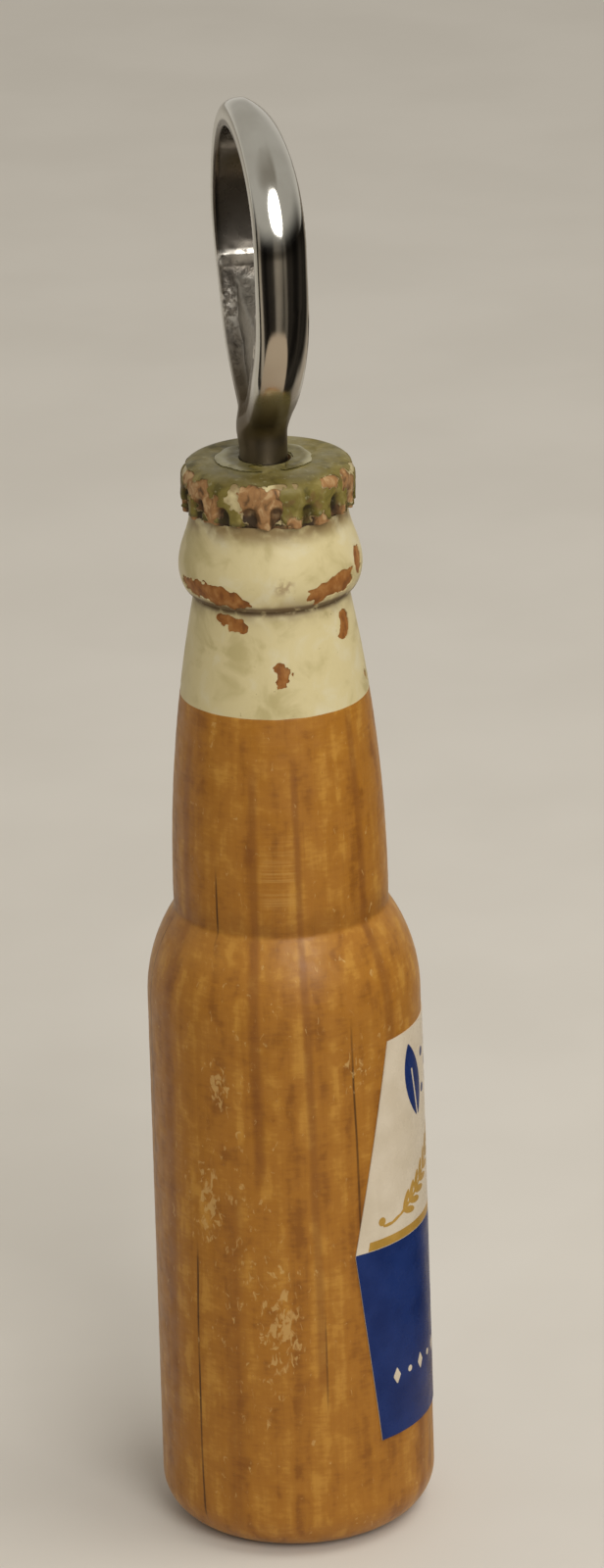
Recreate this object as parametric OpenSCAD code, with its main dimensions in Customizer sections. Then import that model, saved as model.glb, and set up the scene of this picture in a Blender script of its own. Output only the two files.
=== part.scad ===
// Souvenir bottle opener: a turned wooden bottle-shaped handle that stands on its foot,
// with a cast metal opener loop glued into the crown cap carved at its top.
// Origin at the centre of the foot, +Z up, label facing -Y, all sizes in millimetres.

/* [Handle] */
// Radius of the body just above the rounded foot
foot_r = 22.15; // [18:0.05:28]
// Rounding of the foot's lower edge
foot_edge = 7; // [2:0.5:10]
// Radius of the body where the shoulder begins
body_top_r = 21.75; // [17.5:0.05:27]
// Height at which the shoulder begins
shoulder_z = 90; // [60:1:100]
// Radius of the convex shoulder arc, seen from the side
shoulder_arc = 27; // [24:1:40]
// Height at which the shoulder ends in the corner under the neck
neck_z = 105.5; // [104:0.5:107]
// Radius of the neck at its foot
neck_r = 17.05; // [15:0.05:20]
// Radius of the long convex arc that tapers the neck
neck_arc = 250; // [200:10:400]
// Height where the neck's taper begins
taper_z = 108; // [107.5:0.5:112]

/* [Groove and bead] */
// Height of the bottom of the turned V groove
groove_z = 157.5; // [150:0.5:158]
// Half the width of the groove
groove_half = 1.3; // [0.6:0.1:2]
// Radius at the bottom of the groove
groove_r = 11.9; // [10:0.1:12.2]
// Height of the bead's widest circle
bead_z = 162; // [160.5:0.5:164]
// Radius of the bead's widest circle
bead_r = 14.35; // [13:0.05:15]
// Radius of the straight part between the bead and the crown
throat_r = 12.3; // [11:0.1:12.9]

/* [Crown] */
// Height of the lower edge of the crown's skirt
skirt_z = 171.3; // [170:0.1:173]
// Height of the flat top of the crown
crown_z = 178.8; // [177:0.1:181]
// Radius of the crown's skirt
crown_r = 13.6; // [13:0.1:15]
// Rounding of the crown's upper edge
crown_edge = 2.5; // [1:0.1:3]
// Number of notches carved round the crown
notches = 18; // [12:1:24]
// Radius of the ball-nosed cutter that carved the notches
notch_r = 1.3; // [0.8:0.1:1.6]
// Distance of the cutter's axis from the centre of the crown
notch_path_r = 13.75; // [13.4:0.05:14.5]
// Height of the upper end of the notches
notch_top = 175; // [173:0.1:176]
// Turn of the first notch about the handle's axis
notch_start = 17; // [0:1:20]

/* [Paint and label] */
// Thickness of the cream and olive coats
coat = 0.2; // [0.1:0.05:0.4]
// Height of the lower edge of the cream coat
cream_z = 141; // [120:1:150]
// Thickness of the foil label
label_t = 0.2; // [0.1:0.05:0.4]
// Height of the label's lower, widest and upper lines
label_z = [18.4, 51.5, 86.5]; // [12:0.1:89]
// Half the angle that the label wraps at those three heights
label_half = [62.4, 73, 53]; // [30:1:78]

/* [Opener head] */
// Outer radius of the round upper half of the loop
loop_r = 20.8; // [19:0.1:23]
// Height of the loop's widest line
loop_z = 215; // [212:0.1:218]
// Thickness of the band, from inside to outside
band_t = 3.6; // [3:0.1:5]
// Reach of the band from the head's plane to the front
band_front = 4.7; // [3:0.1:5]
// Reach of the band from the head's plane to the back
band_back = 3.6; // [3:0.1:5]
// Height of the flat wall at the band's back
band_wall = 2; // [1:0.1:2.5]
// Distance of the band's thickest line in front of the head's plane
band_peak = 0.5; // [0:0.1:2.5]
// Fullness of the curves over the band's front and back: 1 is an ellipse, less is fuller
band_curves = [1.3, 0.75]; // [0.7:0.05:1.4]
// Outer radius of the two arcs that close the loop downwards
lower_r = 36; // [32:0.5:42]
// Height of the lifting ledge inside the loop
ledge_z = 206.5; // [203:0.5:209]
// Depth of the lifting ledge
ledge_d = 1.2; // [0.5:0.1:2]
// Thickness of the lifting claw, from front to back
claw_t = 3; // [2:0.5:4]
// Height of the middle of the claw's hollow lip
claw_z = 200.5; // [198:0.5:204]
// Lean of the whole head to the front, in degrees
lean = 0.85; // [-2:0.05:2]
// Distance of the shank from the handle's axis, to the back
shank_y = 0.58; // [0:0.01:1]

/* [Shank and glue] */
// Radius of the round shank
shank_r = 3.75; // [3:0.05:4]
// Radius of the blind bore in the handle
bore_r = 4.1; // [4.05:0.05:5]
// Distance of the bore's axis in front of the shank's axis
bore_off = 0.18; // [0:0.01:0.3]
// Depth of the blind bore below the crown
bore_depth = 31; // [20:1:40]
// Depth of the tang's end below the crown
tang_depth = 29; // [18:1:38]
// Depth of the grip rings turned into the tang
grip_d = 0.5; // [0.2:0.1:0.8]
// Number of grip rings
grips = 6; // [3:1:8]
// Radius of the puddle of glue squeezed out on the crown
puddle_r = 8.2; // [6:0.1:10]
// Thickness of the puddle's rim
puddle_t = 0.5; // [0.2:0.1:1]

/* [Hidden] */
$fn = 96;
steps = 8;                  // straight pieces in each turned curve
over = 1;                   // how far a cutting tool runs past what it cuts
loop_in = loop_r - band_t;              // inner radius of the loop's upper half
lower_in = lower_r - band_t;            // inner radius of the lower arcs
lower_x = lower_r - loop_r;             // how far the lower arcs' centres lie past the axis
lower_turn = acos(lower_x / (lower_r - band_t / 2));    // turn of each lower arc to the axis
ledge_turn = asin((loop_z - ledge_z) / lower_in);       // turn of a lower arc to the ledge
fork_z = loop_z - sqrt((lower_r - band_t / 2) ^ 2 - lower_x ^ 2);   // height where those arcs meet
grip_pitch = (tang_depth - 5) / grips;  // distance between grip rings
label_h = label_z[2] - label_z[0];      // height of the label
gap_depth = 3;              // depth of the stretch of the bore's mouth that the glue left open
gap_half = 3.2;             // half the length of that open stretch

// Radius of the turned handle at height z, one function for each stretch of it
function body_at(z) = foot_r + (body_top_r - foot_r) * (z - foot_edge) / (shoulder_z - foot_edge);
function shoulder_at(z) =
    body_top_r - shoulder_arc + sqrt(shoulder_arc ^ 2 - (z - shoulder_z) ^ 2);
function neck_at(z) = neck_r - neck_arc + sqrt(neck_arc ^ 2 - (z - taper_z) ^ 2);
function bead_at(z) = throat_r + (bead_r - throat_r)
    * (1 + cos(180 * (z - bead_z) / (skirt_z - bead_z))) / 2;

// Evenly spaced heights from a to b
function heights(a, b) = [for (i = [0:steps]) a + (b - a) * i / steps];

// Outline of the foot and the plain body, from the axis up to the start of the shoulder
foot_line = concat([[0, 0]], [for (i = [0:steps]) let (a = 90 * i / steps)
    [foot_r - foot_edge * (1 - sin(a)), foot_edge * (1 - cos(a))]]);

// One slanted side of the label, seen from the front: straight where the label lies flat
function label_side(side) = [for (i = [0:2 * steps])
    let (z = i < steps ? label_z[0] + (label_z[1] - label_z[0]) * i / steps
                       : label_z[1] + (label_z[2] - label_z[1]) * (i - steps) / steps)
    [side * body_at(z) * sin(lookup(z, [for (k = [0:2]) [label_z[k], label_half[k]]])), z]];

// Outline of the neck from height z up, with the groove, the bead and the throat,
// moved outwards by d
function neck_line(z, d) = concat(
    [for (h = heights(z, groove_z - groove_half)) [neck_at(h) + d, h]],
    [[groove_r + d, groove_z]],
    [for (i = [1:steps]) let (a = 90 * i / steps)
        [groove_r + (bead_r - groove_r) * sin(a) + d,
         groove_z + (bead_z - groove_z) * (1 - cos(a))]],
    [for (h = heights(bead_z, skirt_z)) if (h > bead_z) [bead_at(h) + d, h]]);

// Solid of the crown without its notches, inside its coat by the distance in
module crown_blank(in, low) {
    rotate_extrude()
        polygon(concat(
            [[0, low], [crown_r - in, low]],
            [for (i = [0:steps]) let (a = 90 * i / steps)
                [crown_r - crown_edge + (crown_edge - in) * cos(a),
                 crown_z - crown_edge + (crown_edge - in) * sin(a)]],
            [[0, crown_z - in]]));
}

// The carved crown: the blank less one ball-nosed cut for each notch
module crown(in, low) {
    difference() {
        crown_blank(in, low);
        for (i = [0:notches - 1])
            rotate([0, 0, notch_start + 360 * i / notches])
                translate([notch_path_r, 0, 0]) {
                    translate([0, 0, low - over])
                        cylinder(h = notch_top - notch_r - low + over, r = notch_r + in, $fn = 24);
                    translate([0, 0, notch_top - notch_r])
                        sphere(r = notch_r + in, $fn = 24);
                }
    }
}

// Places its children in the head's own frame: the shank's axis, level with the crown's top
module in_head() {
    translate([0, shank_y, crown_z])
        rotate([lean, 0, 0])
            children();
}

// The blind bore, a little in front of the shank
module bore(depth, rise) {
    in_head()
        translate([0, -bore_off, -depth])
            cylinder(h = depth + rise, r = bore_r);
}

// The tang in the bore and the shank above it, in the head's frame
module shank() {
    difference() {
        translate([0, 0, -tang_depth])
            cylinder(h = tang_depth + fork_z + over - crown_z, r = shank_r);
        for (i = [1:grips])
            translate([0, 0, -i * grip_pitch - grip_d])
                difference() {
                    cylinder(h = 2 * grip_d, r = shank_r + over);
                    translate([0, 0, -over])
                        cylinder(h = 2 * grip_d + 2 * over, r = shank_r - grip_d);
                }
    }
}

// One curve of the band's section as points, from its thickest line at outer radius r over one side:
// reach is how far that side goes, drop how far it falls, full its fullness
function band_curve(r, reach, drop, full) = [for (i = [0:steps]) let (a = 90 * i / steps)
    [r - drop * (1 - cos(a) ^ full), band_peak + reach * sin(a) ^ full]];

// Section of the band at outer radius r, with its front towards +Y: flat inside, curved outside
module band_section(r) {
    front = band_curve(r, band_front - band_peak, band_t, band_curves[0]);
    back = band_curve(r, -band_back - band_peak, band_t - band_wall, band_curves[1]);
    polygon(concat(front, [[r - band_t, -band_back]], [for (i = [steps:-1:1]) back[i]]));
}

// The half of the loop's lower end on the +X side, in the loop's own plane (X, Y, band along Z)
module lower_half() {
    translate([-lower_x, 0, 0]) {
        rotate([0, 0, -lower_turn])
            rotate_extrude(angle = lower_turn)
                band_section(lower_r);
        rotate([0, 0, -lower_turn])
            rotate_extrude(angle = lower_turn - ledge_turn)
                translate([lower_in - ledge_d, -band_back])
                    square([ledge_d + band_t / 4, band_back + band_front]);
    }
    // core that runs through the plane where the lower arc meets the upper half
    translate([loop_r - band_t / 2, 0, 0])
        cube([band_t / 2, 2 * over, band_t], center = true);
}

// The lifting claw: a web across the loop's lower end with a hollow upper lip
module claw() {
    lip_drop = ledge_z - claw_z;
    lip_half = lower_in - lower_x;
    lip_r = (lip_half ^ 2 + lip_drop ^ 2) / (2 * lip_drop);
    translate([0, 0, -claw_t / 2])
        linear_extrude(height = claw_t)
            difference() {
                intersection() {
                    intersection_for(side = [-1, 1])
                        translate([side * lower_x, 0])
                            circle(r = lower_r - band_t / 2);
                    translate([-loop_r, ledge_z - loop_z - lower_r])
                        square([2 * loop_r, lower_r]);
                }
                translate([0, claw_z - loop_z + lip_r])
                    circle(r = lip_r);
            }
}

module handle_body() {
    color([0.65, 0.41, 0.16])
        difference() {
            union() {
                rotate_extrude()
                    polygon(concat(
                        foot_line,
                        [for (z = heights(shoulder_z, neck_z)) [shoulder_at(z), z]],
                        [for (z = heights(neck_z, cream_z)) if (z > neck_z) [neck_at(z), z]],
                        neck_line(cream_z, -coat),
                        [[0, skirt_z]]));
                crown(coat, skirt_z);
            }
            bore(bore_depth, over);
        }
}

module neck_paint() {
    color([0.84, 0.8, 0.65])
        rotate_extrude()
            difference() {
                polygon(concat([[0, cream_z]], neck_line(cream_z, 0), [[0, skirt_z]]));
                polygon(concat([[0, cream_z - over]], neck_line(cream_z, -coat), [[0, skirt_z + over]]));
            }
}

module cap_paint() {
    color([0.45, 0.43, 0.25])
        difference() {
            crown(0, skirt_z);
            crown(coat, skirt_z - over);
            bore(over, 2 * over);
        }
}

module opener_head() {
    color([0.72, 0.73, 0.74])
        in_head() {
            translate([0, 0, loop_z - crown_z])
                rotate([90, 0, 0]) {
                    rotate_extrude(angle = 180)
                        band_section(loop_r);
                    lower_half();
                    mirror([1, 0, 0])
                        lower_half();
                    claw();
                }
            shank();
        }
}

module tang_glue() {
    color([0.8, 0.77, 0.66])
        difference() {
            union() {
                bore(bore_depth, 0);
                translate([0, shank_y, crown_z])
                    cylinder(h = puddle_t, r = puddle_r);
            }
            in_head()
                shank();
            // the glue leaves the front of the bore's mouth open
            intersection() {
                bore(gap_depth, over);
                translate([-gap_half, -bore_r - over, crown_z - gap_depth - over])
                    cube([2 * gap_half, bore_r, 2 * gap_depth]);
            }
        }
}

module front_label() {
    color([0.2, 0.28, 0.5])
        intersection() {
            translate([0, 0, label_z[0]])
                difference() {
                    cylinder(h = label_h, r1 = body_at(label_z[0]) + label_t,
                             r2 = body_at(label_z[2]) + label_t);
                    cylinder(h = label_h, r1 = body_at(label_z[0]), r2 = body_at(label_z[2]));
                }
            rotate([90, 0, 0])
                linear_extrude(height = foot_r + over)
                    polygon(concat(label_side(1), [for (i = [2 * steps:-1:0]) label_side(-1)[i]]));
        }
}

handle_body();
neck_paint();
cap_paint();
opener_head();
tang_glue();
front_label();
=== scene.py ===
"""Souvenir bottle opener: the finished look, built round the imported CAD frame.

Shapes are worked out in millimetres as numpy arrays and turned into Blender meshes in metres.
Angles round the handle are in degrees from +X towards +Y, so the label's middle is at 270.
"""

import math

import bpy
import numpy as np
from mathutils import Matrix, Vector


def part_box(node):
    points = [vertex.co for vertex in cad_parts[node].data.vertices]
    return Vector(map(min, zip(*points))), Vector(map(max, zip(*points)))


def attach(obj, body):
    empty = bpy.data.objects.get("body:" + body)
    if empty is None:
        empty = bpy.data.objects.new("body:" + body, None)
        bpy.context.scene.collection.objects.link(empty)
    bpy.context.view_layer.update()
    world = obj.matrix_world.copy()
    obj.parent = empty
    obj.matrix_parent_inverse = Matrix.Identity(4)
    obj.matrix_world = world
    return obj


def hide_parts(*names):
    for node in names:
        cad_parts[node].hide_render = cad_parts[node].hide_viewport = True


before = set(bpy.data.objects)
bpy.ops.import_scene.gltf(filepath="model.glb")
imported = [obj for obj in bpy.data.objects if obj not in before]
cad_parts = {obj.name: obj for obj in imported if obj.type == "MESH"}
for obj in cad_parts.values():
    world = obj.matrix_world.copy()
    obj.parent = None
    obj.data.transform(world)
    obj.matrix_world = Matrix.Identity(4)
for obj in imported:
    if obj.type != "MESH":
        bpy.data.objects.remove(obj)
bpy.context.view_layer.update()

MM = 0.001
FRONT = 270.0                     # angle of the label's middle


def box_mm(node):
    """Lowest and highest corner of a CAD node, in millimetres."""
    low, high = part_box(node)
    return np.array(low) / MM, np.array(high) / MM


# ---------------------------------------------------------------- sizes, from the frame
BODY_HIGH = box_mm("handle_body")[1]
NECK_LOW = box_mm("neck_paint")[0]
CAP_LOW, CAP_HIGH = box_mm("cap_paint")
HEAD_HIGH = box_mm("opener_head")[1]
GLUE_HIGH = box_mm("tang_glue")[1]
LABEL_LOW, LABEL_HIGH = box_mm("front_label")

FOOT_R = BODY_HIGH[0]             # radius above the rounded foot
FOOT_EDGE = 7.0
BODY_TOP_R = FOOT_R - 0.4         # radius at the shoulder
SHOULDER_Z, SHOULDER_ARC = 90.0, 27.0
NECK_Z, TAPER_Z, NECK_R, NECK_ARC = 105.5, 108.0, 17.05, 250.0
GROOVE_Z, GROOVE_HALF, GROOVE_R = 157.5, 1.3, 11.9
BEAD_Z, BEAD_R, THROAT_R = 162.0, 14.35, 12.3
CREAM_Z = NECK_LOW[2]             # the cream coat's lower line
SKIRT_Z, CROWN_Z, CROWN_R = CAP_LOW[2], CAP_HIGH[2], CAP_HIGH[0]
CROWN_EDGE = 2.5
CROWN_WEAR = 0.16                 # unevenness of the carved skirt
THROAT_SPAN = (166, 169)          # bare wood below it looks like the neck's, above it like the crown's
NOTCHES, NOTCH_R, NOTCH_PATH, NOTCH_TOP, NOTCH_START = 18, 1.3, 13.75, 175.0, 17.0
NOTCH_TURN, NOTCH_SWELL, NOTCH_RISE, NOTCH_RAGGED = 2.8, 0.2, 0.9, 0.22     # how much they differ
COAT = 0.2                        # cream and olive together
CROWN_LAYER = 0.09                # thickness of the olive coat over the cream
LOOP_R = HEAD_HIGH[0]
LOOP_Z = HEAD_HIGH[2] - LOOP_R
BAND_T, BAND_FRONT, BAND_BACK, BAND_WALL, BAND_PEAK = 3.6, 4.7, 3.6, 2.0, 0.5
BAND_TAPER = 0.22                 # share of its width that the front loses towards the top
BAND_NARROW = 0.13                # share of its width that the back loses low down
BAND_BEND = (0.6, 0.8)            # how far the middle leans back, and how much further the top
BAND_CROWN = 1.6                  # how much thicker the band is at the top
WALL_THIN = 0.65                  # share of its thickness that the back wall loses towards the top
FRONT_ROUND, BACK_ROUND = 1.5, 2.5                # a higher number is a squarer corner
LOWER_R = 36.0
LEDGE_Z, LEDGE_D, LEDGE_SLOPE, CLAW_T, CLAW_Z = 206.5, 1.2, 0.8, 3.0, 200.5
CAST_ROUGH = 0.14
GRIP_PITCH, GRIP_DEPTH = 4.0, 0.25                # rings round the tang
SHANK_WAIST = 0.5                 # how much thinner the shank is under the fork
SHANK_FADE = (196, 187)           # the plating gets dull between these heights
LEAN, SHANK_Y, SHANK_R = math.radians(0.85), 0.58, 3.75
BORE_R, BORE_OFF, BORE_DEPTH, TANG_DEPTH = 4.1, 0.18, 31.0, 29.0
PUDDLE_R, PUDDLE_T = 8.2, GLUE_HIGH[2] - CROWN_Z
LABEL_Z = (LABEL_LOW[2], 51.5, LABEL_HIGH[2])
LABEL_HALF = (62.4, 73.0, 53.0)   # half the angle that the label wraps at those heights
LABEL_T = 0.14
LABEL_COLUMNS = 221
SEAM_Z = 146.0                    # the turned grid below meets the finer mesh here, under the coat
SEAM_LAP = 0.3                    # how far the turned grid goes into that mesh
NET_ROOM = 0.6                    # room round a shape in the grid of cells that finds its surface

rng = np.random.default_rng(7)


# ---------------------------------------------------------------- arrays and fields
def lattice(cell, seed):
    """A repeatable random number from -1 to 1 for each whole-number cell."""
    n = cell[..., 0] * 374761393 + cell[..., 1] * 668265263 + cell[..., 2] * 1442695041 + seed * 97
    n = (n ^ (n >> 13)) * 1274126177 & 0xFFFFFFFF
    return ((n ^ (n >> 16)) & 0xFFFFFF) / 0x7FFFFF - 1.0


def noise(p, size, seed=0, octaves=2):
    """Smooth random values near -1 to 1 at points p, with bumps about size across."""
    total = np.zeros(p.shape[:-1])
    for octave in range(octaves):
        q = p / (size / 2 ** octave) + 1000.0
        cell = np.floor(q).astype(np.int64)
        f = q - cell
        f = f * f * (3 - 2 * f)
        value = 0.0
        for corner in np.ndindex(2, 2, 2):
            weight = np.prod(np.where(corner, f, 1 - f), axis=-1)
            value = value + weight * lattice(cell + np.array(corner), seed + octave)
        total += value / 2 ** octave
    return total


def smooth_max(a, b, k):
    """The larger of two fields, with the crease between them rounded over k."""
    h = np.clip(k - np.abs(a - b), 0, None) / k
    return np.maximum(a, b) + h * h * k / 4


def smooth_min(a, b, k):
    return -smooth_max(-a, -b, k)


def smooth_step(value, low, high):
    t = np.clip((value - low) / (high - low), 0, 1)
    return t * t * (3 - 2 * t)


def polar(angle, r, z):
    """Points at an angle in degrees, a radius and a height."""
    a = np.radians(angle)
    return np.stack(np.broadcast_arrays(r * np.cos(a), r * np.sin(a), z), -1)


# ---------------------------------------------------------------- the turned handle's outline
def bead_line(z):
    wave = (1 + np.cos(np.pi * (z - BEAD_Z) / (SKIRT_Z - BEAD_Z))) / 2
    return THROAT_R + (BEAD_R - THROAT_R) * wave


def neck_line(z):
    return NECK_R - NECK_ARC + np.sqrt(NECK_ARC ** 2 - (z - TAPER_Z) ** 2)


def neck_radius(z):
    """Painted radius of the neck, groove, bead and throat at height z."""
    bead_side = GROOVE_R + (BEAD_R - GROOVE_R) * np.sqrt(
        np.clip(1 - ((BEAD_Z - z) / (BEAD_Z - GROOVE_Z)) ** 2, 0, 1))
    groove_deep = neck_line(GROOVE_Z - GROOVE_HALF) - GROOVE_R
    groove_side = GROOVE_R + groove_deep * (GROOVE_Z - z) / GROOVE_HALF
    r = np.where(z < GROOVE_Z - GROOVE_HALF, neck_line(np.minimum(z, GROOVE_Z)), groove_side)
    r = np.where(z > GROOVE_Z, bead_side, r)
    return np.where(z > BEAD_Z, bead_line(np.clip(z, BEAD_Z, SKIRT_Z)), r)


def body_radius(z):
    """Radius of the bare wood from the foot to the coat."""
    foot = FOOT_R - FOOT_EDGE + np.sqrt(np.clip(FOOT_EDGE ** 2 - (FOOT_EDGE - z) ** 2, 0, None))
    plain = FOOT_R + (BODY_TOP_R - FOOT_R) * (z - FOOT_EDGE) / (SHOULDER_Z - FOOT_EDGE)
    arc = BODY_TOP_R - SHOULDER_ARC + np.sqrt(
        np.clip(SHOULDER_ARC ** 2 - (z - SHOULDER_Z) ** 2, 0, None))
    r = np.where(z < FOOT_EDGE, foot, plain)
    r = np.where(z > SHOULDER_Z, arc, r)
    neck = neck_line(np.maximum(z, NECK_Z))
    return np.where(z > NECK_Z - 3, smooth_max(r, neck, 0.3), r)


# ---------------------------------------------------------------- meshes from arrays
def grid_faces(rows, columns, closed):
    """Quads of a grid of points, row by row, joined round if closed."""
    i = np.arange(rows - 1)[:, None] * columns
    j = np.arange(columns if closed else columns - 1)[None, :]
    k = (j + 1) % columns
    return np.stack([i + j, i + k, i + columns + k, i + columns + j], -1).reshape(-1, 4)


def triangles(quads):
    return np.concatenate([quads[:, [0, 1, 2]], quads[:, [0, 2, 3]]])


def surface_net(field, low, high, step):
    """Quads of the surface where field is 0, with their corners moved exactly onto it."""
    axes = [np.arange(a, b + step, step) for a, b in zip(low, high)]
    inside = field(np.stack(np.meshgrid(*axes, indexing="ij"), -1)) < 0
    shape = [n - 1 for n in inside.shape]
    count = sum(inside[a:a + shape[0], b:b + shape[1], c:c + shape[2]].astype(np.int8)
                for a, b, c in np.ndindex(2, 2, 2))
    mixed = (count > 0) & (count < 8)
    index = np.full(mixed.shape, -1)
    index[mixed] = np.arange(mixed.sum())
    points = np.stack([axes[n][cells] + step / 2 for n, cells in enumerate(np.nonzero(mixed))], -1)
    faces = []
    for axis in range(3):
        u, v = (axis + 1) % 3, (axis + 2) % 3
        first = np.moveaxis(inside, (axis, u, v), (0, 1, 2))[:, 1:-1, 1:-1]
        cells = np.moveaxis(index, (axis, u, v), (0, 1, 2))
        quad = np.stack([cells[:, :-1, :-1], cells[:, 1:, :-1],
                         cells[:, 1:, 1:], cells[:, :-1, 1:]], -1)
        leaving = first[:-1] & ~first[1:]
        entering = ~first[:-1] & first[1:]
        faces += [quad[leaving], quad[entering][:, ::-1]]
    faces = np.concatenate(faces)
    edges = np.concatenate([faces[:, [a, (a + 1) % 4]] for a in range(4)])
    for _ in range(3):
        total, number = np.zeros_like(points), np.zeros(len(points))
        np.add.at(total, edges[:, 0], points[edges[:, 1]])
        np.add.at(number, edges[:, 0], 1)
        points = onto(field, total / np.maximum(number, 1)[:, None], step / 20)
    return points, faces


def onto(field, points, reach):
    """Points moved along the field's slope until they lie where it is 0."""
    for _ in range(3):
        slope = np.stack([field(points + d) - field(points - d) for d in np.eye(3) * reach], -1)
        slope /= 2 * reach
        value = field(points) / np.maximum((slope ** 2).sum(-1), 0.2)
        points = points - np.clip(value, -0.3, 0.3)[:, None] * slope
    return points


def clip_mesh(points, tris, value):
    """The part of a triangle mesh where value is above 0, cut along the line where it is 0."""
    kept = value[tris] > 0
    count = kept.sum(1)
    new_faces, cut = [tris[count == 3]], []
    for wanted, lone in ((1, True), (2, False)):
        some = tris[count == wanted]
        turn = np.argmax((value[some] > 0) == lone, axis=1)
        a, b, c = (some[np.arange(len(some)), (turn + n) % 3] for n in range(3))
        cut.append((a, b, c))
    edges = np.concatenate([np.stack([a, other], -1) for a, b, c in cut for other in (b, c)])
    low_high = np.sort(edges, axis=1)
    unique, where = np.unique(low_high, axis=0, return_inverse=True)
    where = where.reshape(-1) + len(points)
    va, vb = value[unique[:, 0]], value[unique[:, 1]]
    t = (va / (va - vb))[:, None]
    points = np.concatenate([points, points[unique[:, 0]] * (1 - t) + points[unique[:, 1]] * t])
    (a1, _, _), (a2, b2, c2) = cut
    ab1, ac1, ab2, ac2 = np.split(where, np.cumsum([len(a1), len(a1), len(a2)]))
    new_faces += [np.stack(corners, -1) for corners in ((a1, ab1, ac1), (ab2, b2, c2), (ab2, c2, ac2))]
    faces = np.concatenate(new_faces)
    used, faces = np.unique(faces, return_inverse=True)
    return points[used], faces.reshape(-1, 3)


def without_crumbs(points, tris, least=30):
    """The mesh without its separate scraps of fewer than least triangles."""
    label = np.arange(len(points))
    edges = np.concatenate([tris[:, :2], tris[:, 1:]])
    while True:
        low = label[edges].min(1)
        lower = label.copy()
        np.minimum.at(lower, edges[:, 0], low)
        np.minimum.at(lower, edges[:, 1], low)
        lower = lower[lower]
        if (lower == label).all():
            break
        label = lower
    own = label[tris[:, 0]]
    size = np.bincount(own, minlength=len(points))
    used, faces = np.unique(tris[size[own] >= least], return_inverse=True)
    return points[used], faces.reshape(-1, 3)


def normals(points, faces):
    """Outward normal at each point."""
    a, b, c = (points[faces[:, corner]] for corner in range(3))
    n = np.cross(b - a, c - a)
    total = np.zeros_like(points)
    for corner in range(3):
        np.add.at(total, faces[:, corner], n)
    return total / np.maximum(np.linalg.norm(total, axis=1), 1e-12)[:, None]


def thicken(points, tris, depth):
    """A closed sheet: the surface, its copy depth further in, and the rim between them."""
    inner = points - normals(points, tris) * depth
    edges = np.concatenate([tris[:, [0, 1]], tris[:, [1, 2]], tris[:, [2, 0]]])
    keys = edges[:, 0] * len(points) + edges[:, 1]
    back = edges[:, 1] * len(points) + edges[:, 0]
    rim = edges[~np.isin(keys, back)]
    n = len(points)
    sides = np.concatenate([np.stack([rim[:, 1], rim[:, 0], rim[:, 0] + n], -1),
                            np.stack([rim[:, 1], rim[:, 0] + n, rim[:, 1] + n], -1)])
    return np.concatenate([points, inner]), np.concatenate([tris, tris[:, ::-1] + n, sides])


def add_piece(name, parts, material, node, sharp=40.0, marks=None):
    """A Blender object from one or more (points, faces) in millimetres, standing for a CAD node.

    marks are values from 0 to 1 for its first points, which its material reads as "mark"."""
    mesh = bpy.data.meshes.new(name)
    all_points, all_faces, start = [], [], 0
    for points, faces in parts:
        all_points.append(points * MM)
        all_faces += (faces + start).tolist()
        start += len(points)
    mesh.from_pydata(np.concatenate(all_points), [], all_faces)
    mesh.polygons.foreach_set("use_smooth", [True] * len(mesh.polygons))
    mesh.set_sharp_from_angle(angle=math.radians(sharp))
    if marks is not None:
        values = np.zeros(len(mesh.vertices), np.float32)
        values[:len(marks)] = marks
        mesh.attributes.new("mark", "FLOAT", "POINT").data.foreach_set("value", values)
    mesh.materials.append(material)
    mesh.update()
    piece = bpy.data.objects.new(name, mesh)
    bpy.context.scene.collection.objects.link(piece)
    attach(piece, "root")
    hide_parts(node)
    return piece


# ---------------------------------------------------------------- wear: chips, dents, ticks
# Each chip: angle, height, half its width and half its height
CREAM_CHIPS = [
    (110, 160.7, 3.2, 1.5), (121, 160.5, 3.2, 1.7), (133, 160.2, 3.0, 1.9), (145, 159.6, 2.4, 1.5),
    (203, 160.1, 2.2, 1.4), (211, 160.7, 2.2, 1.7), (223, 161.4, 2.6, 1.7), (243, 163.2, 1.8, 2.4),
    (134, 155.9, 1.7, 0.85), (143, 155.2, 2.0, 0.95), (231, 153.7, 1.5, 1.9), (225, 152.1, 1.3, 0.9),
    (173, 148.7, 1.0, 0.9), (177, 147.8, 1.3, 1.1), (174, 146.7, 0.8, 0.9), (251, 143.6, 0.8, 1.0),
    (30, 160.9, 3.0, 0.9), (63, 155.8, 1.8, 0.7), (305, 161.5, 3.2, 1.2), (340, 160.6, 1.8, 0.7),
    (285, 155.4, 2.0, 0.7), (12, 147.2, 1.1, 1.3), (78, 141.6, 1.5, 0.9),
]
OLIVE_CHIPS = [
    (99, 177.2, 2.2, 1.3), (107, 176.2, 1.6, 1.5), (119, 175.6, 2.8, 2.5), (129, 174.2, 1.8, 2.3),
    (157, 176.2, 1.8, 2.0), (165, 174.4, 3.0, 3.1), (173, 175.6, 1.6, 1.9), (159, 172.4, 1.3, 1.2),
    (216, 177.5, 2.1, 1.2), (235, 176.6, 1.8, 1.9), (243, 175.0, 1.6, 2.4), (207, 172.2, 1.2, 0.8),
    (187, 172.2, 1.4, 0.7), (226, 172.2, 1.3, 0.9), (268, 177.0, 1.8, 1.5), (287, 173.4, 2.0, 2.0),
    (318, 176.5, 3.0, 2.2), (335, 172.7, 1.4, 1.2), (5, 174.6, 2.2, 2.6), (24, 177.9, 2.0, 1.0),
    (47, 173.2, 1.8, 1.7), (71, 175.8, 2.6, 2.4), (83, 172.5, 1.3, 1.1),
]
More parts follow.
